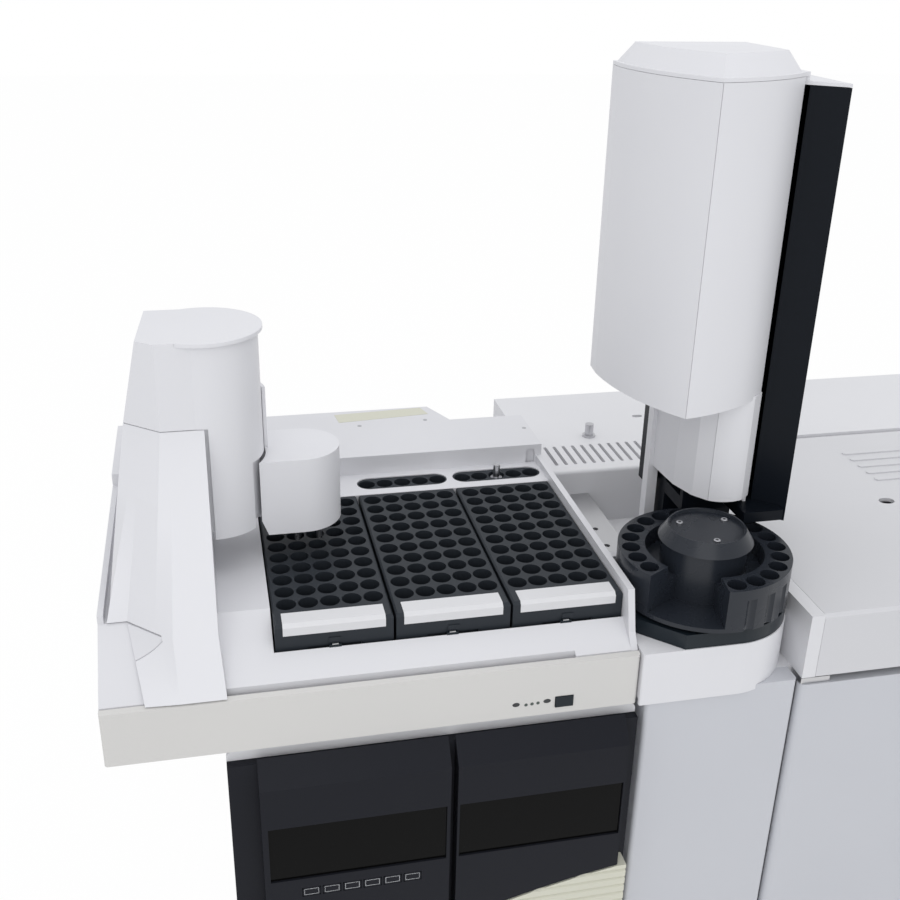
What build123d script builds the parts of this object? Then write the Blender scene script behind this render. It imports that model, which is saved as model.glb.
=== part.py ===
from build123d import *
import os
from math import cos, radians, sin, tan

os.makedirs("parts", exist_ok=True)

# Bench gas chromatograph with a mass spectrometer at its left, a sample tray over the spectrometer
# and an injector tower on the chromatograph. Millimetres, +X right, +Y back, +Z up, bench at z = 0,
# origin under the middle of the machine.

# ---- driving dimensions: the three enclosures ----
gc_width = 590.0
gc_depth = 540.0
gc_height = 509.0
gc_deck_height = 445.0
gc_foot_height = 15.0
ms_width = 350.0
ms_depth = 640.0
ms_height = 434.0
ms_foot_height = 15.0
tray_width = 440.0
tray_depth = 430.0
tray_bottom = 440.0
tray_to_gc_gap = 9.0
ms_to_gc_gap = 6.0
ms_panel_stand = 16.0

tray_left = -(tray_width + tray_to_gc_gap + gc_width) / 2
tray_right = tray_left + tray_width
gc_left = tray_right + tray_to_gc_gap
gc_right = gc_left + gc_width
ms_right = gc_left - ms_to_gc_gap
ms_left = ms_right - ms_width
ms_front = -ms_depth / 2
ms_rear = ms_depth / 2
front_face = ms_front + ms_panel_stand
gc_rear = front_face + gc_depth
tray_rear = front_face + tray_depth

# ---- chromatograph ----
panel_thickness = 20.0
panel_gap = 3.0
left_panel_width = 142.0
left_bay_depth = 318.0
lid_depth = 367.0
lid_wall = 4.0
lid_hinge_radius = 10.0
lid_rear_gap = 1.5
lid_seat_gap = 0.3
hinge_pin_radius = 4.0
running_gap = 0.05
door_width = 303.0
door_bottom = 62.0
door_back_gap = 0.3
vent_count = 12
vent_pitch = 10.9
vent_length = 50.0
vent_width = 4.0
vent_depth = 12.0
cavity_width = 272.0
cavity_depth = 228.0
cavity_bottom = 112.0
cavity_height = gc_deck_height - cavity_bottom - 23
liner_wall = 2.5
fan_radius = 88.0
fan_shaft_radius = 5.0
coil_radius = 78.0
coil_band = 26.0
coil_thickness = 7.0

# ---- spectrometer ----
ms_frame_thickness = 8.0
ms_top_band = 9.0
display_panel_width = 158.0
analyzer_cover_width = 150.0
ms_panel_inset = 24.0
ms_panel_gap = 6.0
bevel_height = 21.0
window_height = 57.0
window_drop = 40.0
window_inset = 2.0
window_thickness = 3.0
key_count = 6
key_width = 15.0
key_height = 9.0
key_pitch = 17.4
key_travel = 2.0
key_clearance = 0.35
rib_pitch = 9.0
rib_groove = 2.4

# ---- sample tray ----
rack_top = 530.0
bezel_thickness = 8.0
bezel_height = 49.0
button_from_right = 65.5
button_rise = 11.5
button_width = 16.4
button_height = 10.9
groove_width = 4.0
groove_depth = 12.0
shoe_reach = 14.0
rack_columns = 5
rack_rows = 10
hole_pitch_x = 18.24
hole_pitch_y = 19.7
hole_radius = 8.4
hole_depth = 30.0
rack_pitch = 99.3
rack_width = 97.0
rack_height = 38.0
rack_front_border = 32.0
rack_back_border = 12.0
rack_edge = 2.5
first_hole_x = 150.0
first_hole_y = 68.0
side_wall = 6.0
well_strip_width = 26.0
well_strip_height = 24.0
rear_housing_rise = 20.0
label_thickness = 0.5
label_top_depth = 18.2
label_drop = 9.7

# ---- gantry ----
gantry_travel = 236.0
column_axis_x = 97.0
column_axis_y = 170.0
column_radius = 46.0
column_rim_radius = 50.0
column_rim_height = 3.0
column_top = 742.0
column_left_top = 52.0
arm_seam_height = 668.0
arm_middle = 619.0
arm_ridge_bow = 5.0
flare_slope = 0.215
arm_flare_slope = 0.16
sleeve_wall = 3.0
sleeve_bottom = 566.0
drum_radius = 42.0
drum_pin_radius = 8.0
drum_bottom = 571.0
neck_height = 16.0
deck_clearance = 1.2
apron_clearance = 1.2
head_bottom = 555.0
head_top = 625.0
head_radius = 35.0
head_reach = 78.0
head_gap = 1.4
lift_travel = 50.0
jaw_travel = 3.0
jaw_length = 20.0

# ---- injector ----
turret_radius = 76.0
turret_rim_height = 40.0
turret_top = 550.0
turret_hole_radius = 8.2
turret_hole_count = 19
turret_hole_circle = 65.0
turret_sector_left = 210.5
turret_sector_right = 262.0
turret_flute_count = 12
ring_inner = 50.0
hub_drum_radius = 38.0
hub_skirt_radius = 41.5
hub_top_radius = 34.0
hub_rise = 22.0
hub_skirt_drop = 11.5
turret_from_left = 69.0
turret_from_front = 64.0
pocket_pitch = 16.15
first_pocket_angle = 270.5
needle_pocket = 10
shroud_wall = 3.0
shroud_top = 492.0
tower_top = 946.0
flange_top = 939.0
tower_cap_height = 16.0
tower_wall = 3.0
neck_bottom = 577.0
cover_bottom = 675.0
chassis_bottom = 556.0
syringe_travel = 45.0
plunger_travel = 38.0


def block(low, high, mode=Mode.ADD):
    """A rectangular block between two corners."""
    middle = tuple((a + b) / 2 for a, b in zip(low, high))
    size = tuple(b - a for a, b in zip(low, high))
    with Locations(middle):
        Box(*size, mode=mode)


def side_prism(points, x_low, x_high, mode=Mode.ADD):
    """A (y, z) outline carried along X."""
    with BuildSketch(Plane.YZ.offset(x_low)) as outline:
        with BuildLine():
            Polyline(*points, close=True)
        make_face()
    extrude(outline.sketch, amount=x_high - x_low, mode=mode)


def plan_prism(points, z_low, z_high, mode=Mode.ADD):
    """An (x, y) outline carried along Z."""
    with BuildSketch(Plane.XY.offset(z_low)) as outline:
        with BuildLine():
            Polyline(*points, close=True)
        make_face()
    extrude(outline.sketch, amount=z_high - z_low, mode=mode)


def front_prism(points, y_low, y_high, mode=Mode.ADD):
    """An (x, z) outline carried along Y."""
    with BuildSketch(Plane.XZ.offset(-y_low)) as outline:
        with BuildLine():
            Polyline(*points, close=True)
        make_face()
    extrude(outline.sketch, amount=-(y_high - y_low), mode=mode)


def rod(start, direction, length, radius, mode=Mode.ADD):
    """A round bar from a point along an axis direction."""
    with BuildSketch(Plane(origin=start, z_dir=direction)) as outline:
        Circle(radius)
    extrude(outline.sketch, amount=length, mode=mode)


def save(part, name):
    """Labels a finished piece and writes its STEP file."""
    part.label = name
    export_step(part, f"parts/{name}.step")


# ================= gas chromatograph =================
body_front = front_face + panel_thickness
lid_left = gc_left + left_panel_width + 4.0
left_bay_rear = front_face + left_bay_depth
hinge_block_front = front_face + lid_depth + lid_rear_gap
door_left = lid_left
door_right = door_left + door_width
lid_bottom = gc_deck_height + lid_seat_gap
lid_axis_y = hinge_block_front - lid_rear_gap - lid_hinge_radius
lid_axis_z = gc_height - lid_hinge_radius
lid_end_inset = 8.0
lid_cheek = 13.0
lid_edge = lid_left + lid_cheek
door_top = gc_deck_height - 8.0
door_axis_x = door_left + 7.0
door_axis_y = front_face + 7.0
cavity_middle = (door_left + door_right) / 2
cavity_left = cavity_middle - cavity_width / 2
cavity_rear = body_front + cavity_depth
fan_z = cavity_bottom + cavity_height / 2
fan_bore_depth = 30.0
turret_x = gc_left + turret_from_left
turret_y = front_face + turret_from_front
needle_angle = radians(first_pocket_angle + needle_pocket * pocket_pitch)
needle_x = turret_x + turret_hole_circle * cos(needle_angle)
needle_y = turret_y + turret_hole_circle * sin(needle_angle)
inlet_x = needle_x
inlet_y = needle_y

with BuildPart() as gc_housing:
    block((gc_left, body_front, gc_foot_height), (gc_right, gc_rear, gc_deck_height))
    block((gc_left, hinge_block_front, gc_deck_height), (gc_right, gc_rear, gc_height))
    block((gc_left, left_bay_rear, gc_deck_height), (lid_edge - 0.3, hinge_block_front, gc_height))
    # raised cheek between the left bay and the lid
    block((lid_left, front_face, gc_deck_height), (lid_edge - 0.3, left_bay_rear + 1, gc_height))
    fillet(gc_housing.edges().filter_by(Axis.X).sort_by(Axis.Z)[-1:], radius=4)
    # oven cavity, open at the front
    block((cavity_left, body_front - 1, cavity_bottom),
          (cavity_left + cavity_width, cavity_rear, cavity_bottom + cavity_height), Mode.SUBTRACT)
    rod((cavity_middle, cavity_rear - 1, fan_z), (0, 1, 0), fan_bore_depth + 1,
        fan_shaft_radius + running_gap, Mode.SUBTRACT)
    # row of vent slots in the raised deck
    with BuildSketch(Plane.XY.offset(gc_height)) as vents:
        with Locations((gc_left + 80, left_bay_rear + 42)):
            with GridLocations(vent_pitch, 1, vent_count, 1):
                SlotOverall(vent_length, vent_width, rotation=90)
    extrude(vents.sketch, amount=-vent_depth, mode=Mode.SUBTRACT)
    # keyway of a lifting bracket and the rear exhaust grille
    with BuildSketch(Plane.XY.offset(gc_height)) as keyway:
        with Locations((gc_left + 160, gc_rear - 83)):
            SlotOverall(13, 7)
    extrude(keyway.sketch, amount=-vent_depth, mode=Mode.SUBTRACT)
    with BuildSketch(Plane.XZ.offset(-gc_rear)) as exhaust:
        with Locations((cavity_middle, fan_z)):
            with GridLocations(1, 16, 1, 12):
                SlotOverall(cavity_width - 40, 7)
    extrude(exhaust.sketch, amount=vent_depth, mode=Mode.SUBTRACT)
    # bore of the lid's left pin
    rod((lid_edge - 14, lid_axis_y, lid_axis_z), (1, 0, 0), 15, hinge_pin_radius, Mode.SUBTRACT)
save(gc_housing.part, "gc_housing")

with BuildPart() as gc_left_panel:
    block((gc_left, front_face, gc_foot_height + 5),
          (gc_left + left_panel_width, body_front, gc_deck_height - 0.3))
    fillet(gc_left_panel.edges().filter_by(Axis.Z).group_by(Axis.Y)[0], radius=4)
save(gc_left_panel.part, "gc_left_panel")

with BuildPart() as gc_right_panel:
    block((door_right + panel_gap, front_face, gc_foot_height + 5),
          (gc_right, body_front, door_top))
    fillet(gc_right_panel.edges().filter_by(Axis.Z).group_by(Axis.Y)[0], radius=4)
save(gc_right_panel.part, "gc_right_panel")

with BuildPart() as gc_kick_panel:
    block((door_left, front_face, gc_foot_height + 5), (door_right, body_front, door_bottom - 9))
    with BuildSketch(Plane.XZ.offset(-front_face)) as louvres:
        with Locations((cavity_middle, (gc_foot_height + door_bottom) / 2 - 2)):
            with GridLocations(1, 9, 1, 3):
                SlotOverall(door_width - 60, 4)
    extrude(louvres.sketch, amount=-6, mode=Mode.SUBTRACT)
save(gc_kick_panel.part, "gc_kick_panel")

# oven door: its left edge is rounded about the hinge pins
door_back = body_front - door_back_gap
with BuildPart() as oven_door:
    with BuildSketch(Plane.XY.offset(door_bottom)) as door_plan:
        with BuildLine():
            CenterArc((door_axis_x, door_axis_y), 7, 180, 90)
            Line((door_axis_x, front_face), (door_right, front_face))
            Line((door_right, front_face), (door_right, door_back))
            Line((door_right, door_back), (door_axis_x + 14, door_back))
            Line((door_axis_x + 14, door_back), (door_left, door_axis_y))
        make_face()
    extrude(door_plan.sketch, amount=door_top - door_bottom)
    fillet(oven_door.edges().filter_by(Axis.Z).sort_by(Axis.X)[-2:].sort_by(Axis.Y)[0], radius=5)
    for z_start, direction in ((door_bottom, 1), (door_top, -1)):
        rod((door_axis_x, door_axis_y, z_start), (0, 0, direction), 13,
            hinge_pin_radius + running_gap, Mode.SUBTRACT)
    # pull grip pressed into the right edge
    block((door_right - 14, front_face - 1, 300), (door_right + 1, front_face + 6, 372), Mode.SUBTRACT)
save(oven_door.part, "oven_door")

with BuildPart() as oven_door_hinges:
    for z_low, z_high, pin_start, pin_way in (
        (door_bottom - 8, door_bottom - 0.5, door_bottom - 1, 1),
        (door_top + 0.5, door_top + 6, door_top + 1, -1),
    ):
        block((door_axis_x - 6, door_axis_y - 5, z_low), (door_axis_x + 22, body_front, z_high))
        rod((door_axis_x, door_axis_y, pin_start), (0, 0, pin_way), 12, hinge_pin_radius)
save(oven_door_hinges.part, "oven_door_hinges")

with BuildPart() as oven_liner:
    block((cavity_left, body_front, cavity_bottom),
          (cavity_left + cavity_width, cavity_rear, cavity_bottom + cavity_height))
    block((cavity_left + liner_wall, body_front - 1, cavity_bottom + liner_wall),
          (cavity_left + cavity_width - liner_wall, cavity_rear - liner_wall,
           cavity_bottom + cavity_height - liner_wall), Mode.SUBTRACT)
    rod((cavity_middle, cavity_rear - 10, fan_z), (0, 1, 0), 12, fan_shaft_radius + 3, Mode.SUBTRACT)
save(oven_liner.part, "oven_liner")

fan_front = cavity_rear - 36
with BuildPart() as oven_fan:
    rod((cavity_middle, fan_front, fan_z), (0, 1, 0), 3, fan_radius)
    rod((cavity_middle, fan_front, fan_z), (0, 1, 0), cavity_rear - fan_front + fan_bore_depth - 2,
        fan_shaft_radius)
    rod((cavity_middle, fan_front, fan_z), (0, 1, 0), 20, 14)
    with BuildSketch(Plane.XZ.offset(-fan_front - 2)) as blades:
        with Locations((cavity_middle, fan_z)):
            with PolarLocations(fan_radius * 0.62, 8):
                Rectangle(fan_radius * 0.66, 2.4, rotation=28)
    extrude(blades.sketch, amount=-18)
save(oven_fan.part, "oven_fan")

# capillary column wound on a ring, hanging on a strip from the liner's roof
coil_y = body_front + 110
coil_inner = coil_radius - coil_thickness / 2
with BuildPart() as column_coil:
    with BuildSketch(Plane.YZ.offset(cavity_middle)) as coil_section:
        with Locations((coil_y, fan_z + coil_radius)):
            Rectangle(coil_band, coil_thickness)
        with Locations((coil_y, fan_z + coil_radius + coil_thickness / 2)):
            with GridLocations(coil_band / 5, 1, 5, 1):
                Circle(coil_band / 10 - 0.1)
    revolve(coil_section.sketch, Axis((cavity_middle, coil_y, fan_z), (0, 1, 0)))
save(column_coil.part, "column_coil")

roof = cavity_bottom + cavity_height - liner_wall
with BuildPart() as column_hanger:
    hook_z = fan_z + coil_inner - 0.3
    side_prism(((coil_y + coil_band / 2 + 2, roof), (coil_y + coil_band / 2 + 5, roof),
                (coil_y + coil_band / 2 + 5, hook_z - 4), (coil_y - coil_band / 2 - 3, hook_z - 4),
                (coil_y - coil_band / 2 - 3, hook_z - 0.7), (coil_y + coil_band / 2 + 2, hook_z - 0.7)),
               cavity_middle - 9, cavity_middle + 9)
save(column_hanger.part, "column_hanger")

with BuildPart() as gc_lid:
    with BuildSketch(Plane.YZ.offset(lid_edge)) as lid_side:
        with BuildLine():
            Line((lid_axis_y, gc_height), (front_face + 3, gc_height))
            Line((front_face + 3, gc_height), (front_face, gc_height - 3))
            Line((front_face, gc_height - 3), (front_face, lid_bottom))
            Line((front_face, lid_bottom), (lid_axis_y, lid_bottom))
            Line((lid_axis_y, lid_bottom), (lid_axis_y + lid_hinge_radius, lid_bottom + 7))
            Line((lid_axis_y + lid_hinge_radius, lid_bottom + 7),
                 (lid_axis_y + lid_hinge_radius, lid_axis_z))
            CenterArc((lid_axis_y, lid_axis_z), lid_hinge_radius, 0, 90)
        make_face()
    extrude(lid_side.sketch, amount=gc_right - lid_edge)
    # right hinge ear of the housing reaches in here
    block((gc_right - lid_end_inset, lid_axis_y - 15, lid_bottom - 1),
          (gc_right + 1, hinge_block_front, gc_height + 1), Mode.SUBTRACT)
    block((lid_edge + lid_wall, front_face + lid_wall, lid_bottom - 1),
          (gc_right - lid_wall, lid_axis_y - 18, gc_height - lid_wall), Mode.SUBTRACT)
    rod((lid_edge, lid_axis_y, lid_axis_z), (1, 0, 0), 13, hinge_pin_radius + running_gap,
        Mode.SUBTRACT)
    rod((gc_right - lid_end_inset, lid_axis_y, lid_axis_z), (-1, 0, 0), 13,
        hinge_pin_radius + running_gap, Mode.SUBTRACT)
    # access holes over the inlets and raised louvre ribs
    with BuildSketch(Plane.XY.offset(gc_height)) as lid_holes:
        with Locations((gc_left + 336, front_face + 192), (gc_left + 362, front_face + 190)):
            Ellipse(8.5, 6.5)
    extrude(lid_holes.sketch, amount=-lid_wall - 1, mode=Mode.SUBTRACT)
    with BuildSketch(Plane.XY.offset(gc_height - 0.5)) as ribs:
        with Locations((gc_left + 412, front_face + 275)):
            with GridLocations(1, 17, 1, 5):
                SlotOverall(120, 7)
    extrude(ribs.sketch, amount=2)
save(gc_lid.part, "gc_lid")

with BuildPart() as lid_hinge_pins:
    rod((lid_edge - 14, lid_axis_y, lid_axis_z), (1, 0, 0), 26.5, hinge_pin_radius)
    side_prism(((lid_axis_y - 9, lid_axis_z - 20), (hinge_block_front, lid_axis_z - 20),
                (hinge_block_front, gc_height - 2), (lid_axis_y - 9, gc_height - 2)),
               gc_right - lid_end_inset + 1.5, gc_right - 1)
    rod((gc_right - lid_end_inset + 2, lid_axis_y, lid_axis_z), (-1, 0, 0), 14, hinge_pin_radius)
save(lid_hinge_pins.part, "lid_hinge_pins")

# inlets and detector under the lid
with BuildPart() as inlet_body:
    with BuildSketch(Plane.XY.offset(gc_deck_height)) as inlet_base:
        with Locations((lid_left + 78, inlet_y + 40)):
            RectangleRounded(60, 60, 6)
    extrude(inlet_base.sketch, amount=8)
    rod((lid_left + 78, inlet_y + 40, gc_deck_height + 8), (0, 0, 1), 26, 20)
    rod((lid_left + 78, inlet_y + 40, gc_deck_height + 34), (0, 0, 1), 10, 12)
save(inlet_body.part, "rear_inlet")

with BuildPart() as detector:
    with BuildSketch(Plane.XY.offset(gc_deck_height)) as detector_base:
        with Locations((lid_left + 178, inlet_y + 60)):
            RectangleRounded(74, 64, 6)
    extrude(detector_base.sketch, amount=12)
    rod((lid_left + 178, inlet_y + 60, gc_deck_height + 12), (0, 0, 1), 28, 17)
    rod((lid_left + 178, inlet_y + 60, gc_deck_height + 40), (0, 0, 1), 12, 8)
save(detector.part, "flame_detector")

with BuildPart() as front_inlet:
    rod((inlet_x, inlet_y, gc_deck_height), (0, 0, 1), 10, 22)
    rod((inlet_x, inlet_y, gc_deck_height + 10), (0, 0, 1), 24, 15)
    rod((inlet_x, inlet_y, gc_deck_height + 34), (0, 0, 1), 9, 9)
    rod((inlet_x, inlet_y, gc_deck_height + 44), (0, 0, -1), 20, 1.0, Mode.SUBTRACT)
save(front_inlet.part, "front_inlet")

post_x = gc_left + 81
post_y = left_bay_rear + 90
with BuildPart() as thumb_screw:
    rod((post_x, post_y, gc_height), (0, 0, 1), 2.5, 7.5)
    with BuildSketch(Plane.XY.offset(gc_height + 2.5)) as knurl:
        with Locations((post_x, post_y)):
            RegularPolygon(5, 12)
    extrude(knurl.sketch, amount=13)
save(thumb_screw.part, "thumb_screw")

# ================= mass spectrometer =================
ms_body_front = front_face + ms_frame_thickness
ms_frame_top = ms_height - ms_top_band
display_left = ms_left + ms_panel_inset
display_right = display_left + display_panel_width
cover_left = display_right + ms_panel_gap
cover_right = cover_left + analyzer_cover_width
panel_top = ms_height - 4.0
ridge_z = panel_top - bevel_height
window_top = ridge_z - window_drop
window_bottom = window_top - window_height
arch_low = 248.0
arch_high = 274.0
display_bottom = 200.0

with BuildPart() as ms_housing:
    block((ms_left, ms_body_front, ms_foot_height), (ms_right, ms_rear, ms_height))
    fillet(ms_housing.edges().filter_by(Axis.Y).group_by(Axis.Z)[-1], radius=5)
    with BuildSketch(Plane.XZ.offset(-ms_rear)) as ms_vents:
        with Locations(((ms_left + ms_right) / 2, ms_height / 2)):
            with GridLocations(120, 14, 2, 14):
                SlotOverall(100, 6)
    extrude(ms_vents.sketch, amount=10, mode=Mode.SUBTRACT)
save(ms_housing.part, "ms_housing")

with BuildPart() as ms_front_frame:
    block((ms_left, front_face, ms_foot_height + 10), (ms_right, ms_body_front, ms_frame_top))
save(ms_front_frame.part, "ms_front_frame")

panel_side = ((front_face, panel_top), (ms_front, ridge_z), (ms_front, display_bottom),
              (front_face, display_bottom))
key_z = window_bottom - 15.0
key_x0 = display_left + 38.5
with BuildPart() as display_panel:
    side_prism(panel_side, display_left, display_right)
    block((display_left + 5, ms_front - 1, window_bottom),
          (display_right - 3, ms_front + window_inset + window_thickness, window_top), Mode.SUBTRACT)
    for key in range(key_count):
        middle = key_x0 + key * key_pitch
        block((middle - key_width / 2 - key_clearance, ms_front - 1,
               key_z - key_height / 2 - key_clearance),
              (middle + key_width / 2 + key_clearance, ms_front + 11,
               key_z + key_height / 2 + key_clearance), Mode.SUBTRACT)
save(display_panel.part, "display_panel")

for key in range(key_count):
    middle = key_x0 + key * key_pitch
    with BuildPart() as menu_key:
        block((middle - key_width / 2, ms_front, key_z - key_height / 2),
              (middle + key_width / 2, ms_front + 11.5 - key_travel - 0.5, key_z + key_height / 2))
        fillet(menu_key.edges().filter_by(Axis.Y), radius=2)
    save(menu_key.part, f"menu_key_{key + 1}")

arch_run = cover_right - cover_left
with BuildPart() as analyzer_cover:
    side_prism(((front_face, panel_top), (ms_front, ridge_z), (ms_front, arch_low - 30),
                (front_face, arch_low - 30)), cover_left, cover_right)
    block((cover_left + 2, ms_front - 1, window_bottom),
          (cover_right - 2, ms_front + window_inset + window_thickness, window_top), Mode.SUBTRACT)
    # lower edge swept up to the right in an arc
    with BuildSketch(Plane.XZ.offset(-ms_front + 1)) as arch_cut:
        with BuildLine():
            ThreePointArc((cover_left - 1, arch_low - 10), (cover_left + arch_run * 0.5, arch_low + 12),
                          (cover_right + 1, arch_high + 1))
            Line((cover_right + 1, arch_high + 1), (cover_right + 1, arch_low - 40))
            Line((cover_right + 1, arch_low - 40), (cover_left - 1, arch_low - 40))
            Line((cover_left - 1, arch_low - 40), (cover_left - 1, arch_low - 10))
        make_face()
    extrude(arch_cut.sketch, amount=-ms_panel_stand - 2, mode=Mode.SUBTRACT)
save(analyzer_cover.part, "analyzer_cover")

with BuildPart() as panel_windows:
    block((display_left + 5, ms_front + window_inset, window_bottom),
          (display_right - 3, ms_front + window_inset + window_thickness, window_top))
    block((cover_left + 2, ms_front + window_inset, window_bottom),
          (cover_right - 2, ms_front + window_inset + window_thickness, window_top))
save(panel_windows.part, "panel_windows")

lower_bottom = ms_foot_height + 20.0
with BuildPart() as ribbed_panel:
    with BuildSketch(Plane.XZ.offset(-ms_front)) as ribbed_outline:
        with BuildLine():
            ThreePointArc((cover_left, arch_low - 12), (cover_left + arch_run * 0.5, arch_low + 10),
                          (cover_right, arch_high - 1))
            Line((cover_right, arch_high - 1), (ms_right - 3, arch_high - 1))
            Line((ms_right - 3, arch_high - 1), (ms_right - 3, lower_bottom))
            Line((ms_right - 3, lower_bottom), (ms_left + 3, lower_bottom))
            Line((ms_left + 3, lower_bottom), (ms_left + 3, display_bottom - 2))
            Line((ms_left + 3, display_bottom - 2), (cover_left, display_bottom - 2))
            Line((cover_left, display_bottom - 2), (cover_left, arch_low - 12))
        make_face()
    extrude(ribbed_outline.sketch, amount=-ms_panel_stand)
    # horizontal grooves between the ribs
    rib_count = int((arch_high - lower_bottom) / rib_pitch)
    with BuildSketch(Plane.YZ.offset(ms_left)) as rib_cut:
        with Locations((ms_front, (arch_high + lower_bottom) / 2)):
            with GridLocations(1, rib_pitch, 1, rib_count):
                Rectangle(rib_groove * 1.4, rib_groove, rotation=45)
    extrude(rib_cut.sketch, amount=ms_width, mode=Mode.SUBTRACT)
save(ribbed_panel.part, "ribbed_panel")

with BuildPart() as levelling_feet:
    for foot_x in (gc_left + 40, gc_right - 40):
        for foot_y in (body_front + 40, gc_rear - 40):
            rod((foot_x, foot_y, 0), (0, 0, 1), gc_foot_height, 18)
    for foot_x in (ms_left + 40, ms_right - 40):
        for foot_y in (ms_body_front + 40, ms_rear - 40):
            rod((foot_x, foot_y, 0), (0, 0, 1), ms_foot_height, 18)
save(levelling_feet.part, "levelling_feet")

with BuildPart() as transfer_line:
    rod((ms_right, front_face + 140, 270), (1, 0, 0), ms_to_gc_gap, 16)
save(transfer_line.part, "transfer_line")

# ================= sample tray =================
hole_x0 = tray_left + first_hole_x
hole_y0 = front_face + first_hole_y
bezel_back = front_face + bezel_thickness
bezel_top = tray_bottom + bezel_height
rack_front = hole_y0 - rack_front_border
bay_front = rack_front - 3.0
rack_rear = hole_y0 + hole_pitch_y * (rack_rows - 1) + rack_back_border
rack_half_span = hole_pitch_x * (rack_columns - 1) / 2
well_left = hole_x0 + rack_half_span - rack_width / 2 - 1.5
well_right = tray_right - side_wall
well_floor = rack_top - rack_height - 0.3
strip_y = hole_y0 + 215.0
housing_front = strip_y + 23.0
garage_left = tray_left + 4.8
garage_front = hole_y0 - 3.0
slope_low = (bezel_back, bezel_top + 1)
apron_rate = (rack_top - slope_low[1]) / (garage_front - bezel_back)
# the gantry's foot: it hangs over the bezel, its left edge follows the apron, and the tray's rest
# carries its facet on behind it
foot_bottom = bezel_top + 1.6
foot_front = front_face + 1.1
foot_left_front = foot_front + 1.4
foot_left = tray_left + 35.1
foot_left_top = tray_left + 23.0
foot_right_flare = 3.5
gantry_low = rack_top + deck_clearance
rest_front = rack_front - 0.5
rest_right = tray_left + 94.0


def foot_edge(z):
    """Left edge of the gantry's foot at a height: its x and its y."""
    share = (z - foot_bottom) / (gantry_low - foot_bottom)
    return (foot_left + share * (foot_left_top - foot_left),
            foot_left_front + share * (garage_front - 0.9 - foot_left_front))


def foot_loft():
    """The gantry's foot before it is cut clear of the apron and the racks."""
    sections = []
    for z, front, right in ((foot_bottom, foot_front, arm_right_x + foot_right_flare),
                            (gantry_low, column_front - slope_rate * (arm_seam_height - gantry_low),
                             arm_right_x)):
        with BuildSketch(Plane.XY.offset(z)) as section:
            with BuildLine():
                Polyline((right, front),
                         (ridge_x + 3 * (gantry_low - z) / (gantry_low - foot_bottom), front),
                         foot_edge(z), (foot_edge(z)[0], garage_front + 2),
                         (right, garage_front + 2), close=True)
            make_face()
        sections.append(section.sketch.face())
    loft(sections, ruled=True)


axis_x = tray_left + column_axis_x
axis_y = front_face + column_axis_y
column_front = axis_y - 45.0
column_back = axis_y + 47.0
left_at_top = axis_x - column_left_top
arm_right_x = axis_x - 3.0
ridge_x = axis_x - 38.0
slope_rate = (column_front - foot_front) / (arm_seam_height - foot_bottom)
rear_corner_x = tray_right - 100.0
rear_corner_y = tray_rear - 42.0
wall_top = rack_top + 8.0

button_x = tray_right - button_from_right
button_z = tray_bottom + button_rise
with BuildPart() as tray_bezel:
    side_prism(((front_face, tray_bottom), (bezel_back, tray_bottom), (bezel_back, bezel_top - 1),
                (bezel_back - 2, bezel_top + 1), (front_face, bezel_top)), tray_left, tray_right)
    fillet(tray_bezel.edges().filter_by(Axis.Z).group_by(Axis.Y)[0], radius=3)
    block((button_x - button_width / 2, front_face - 1, button_z - button_height / 2),
          (button_x + button_width / 2, front_face + 5, button_z + button_height / 2), Mode.SUBTRACT)
save(tray_bezel.part, "tray_bezel")

with BuildPart() as tray_button:
    block((button_x - button_width / 2 + key_clearance, front_face - 1,
           button_z - button_height / 2 + key_clearance),
          (button_x + button_width / 2 - key_clearance, front_face + 5 - key_travel - 0.5,
           button_z + button_height / 2 - key_clearance))
save(tray_button.part, "tray_button")

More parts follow.
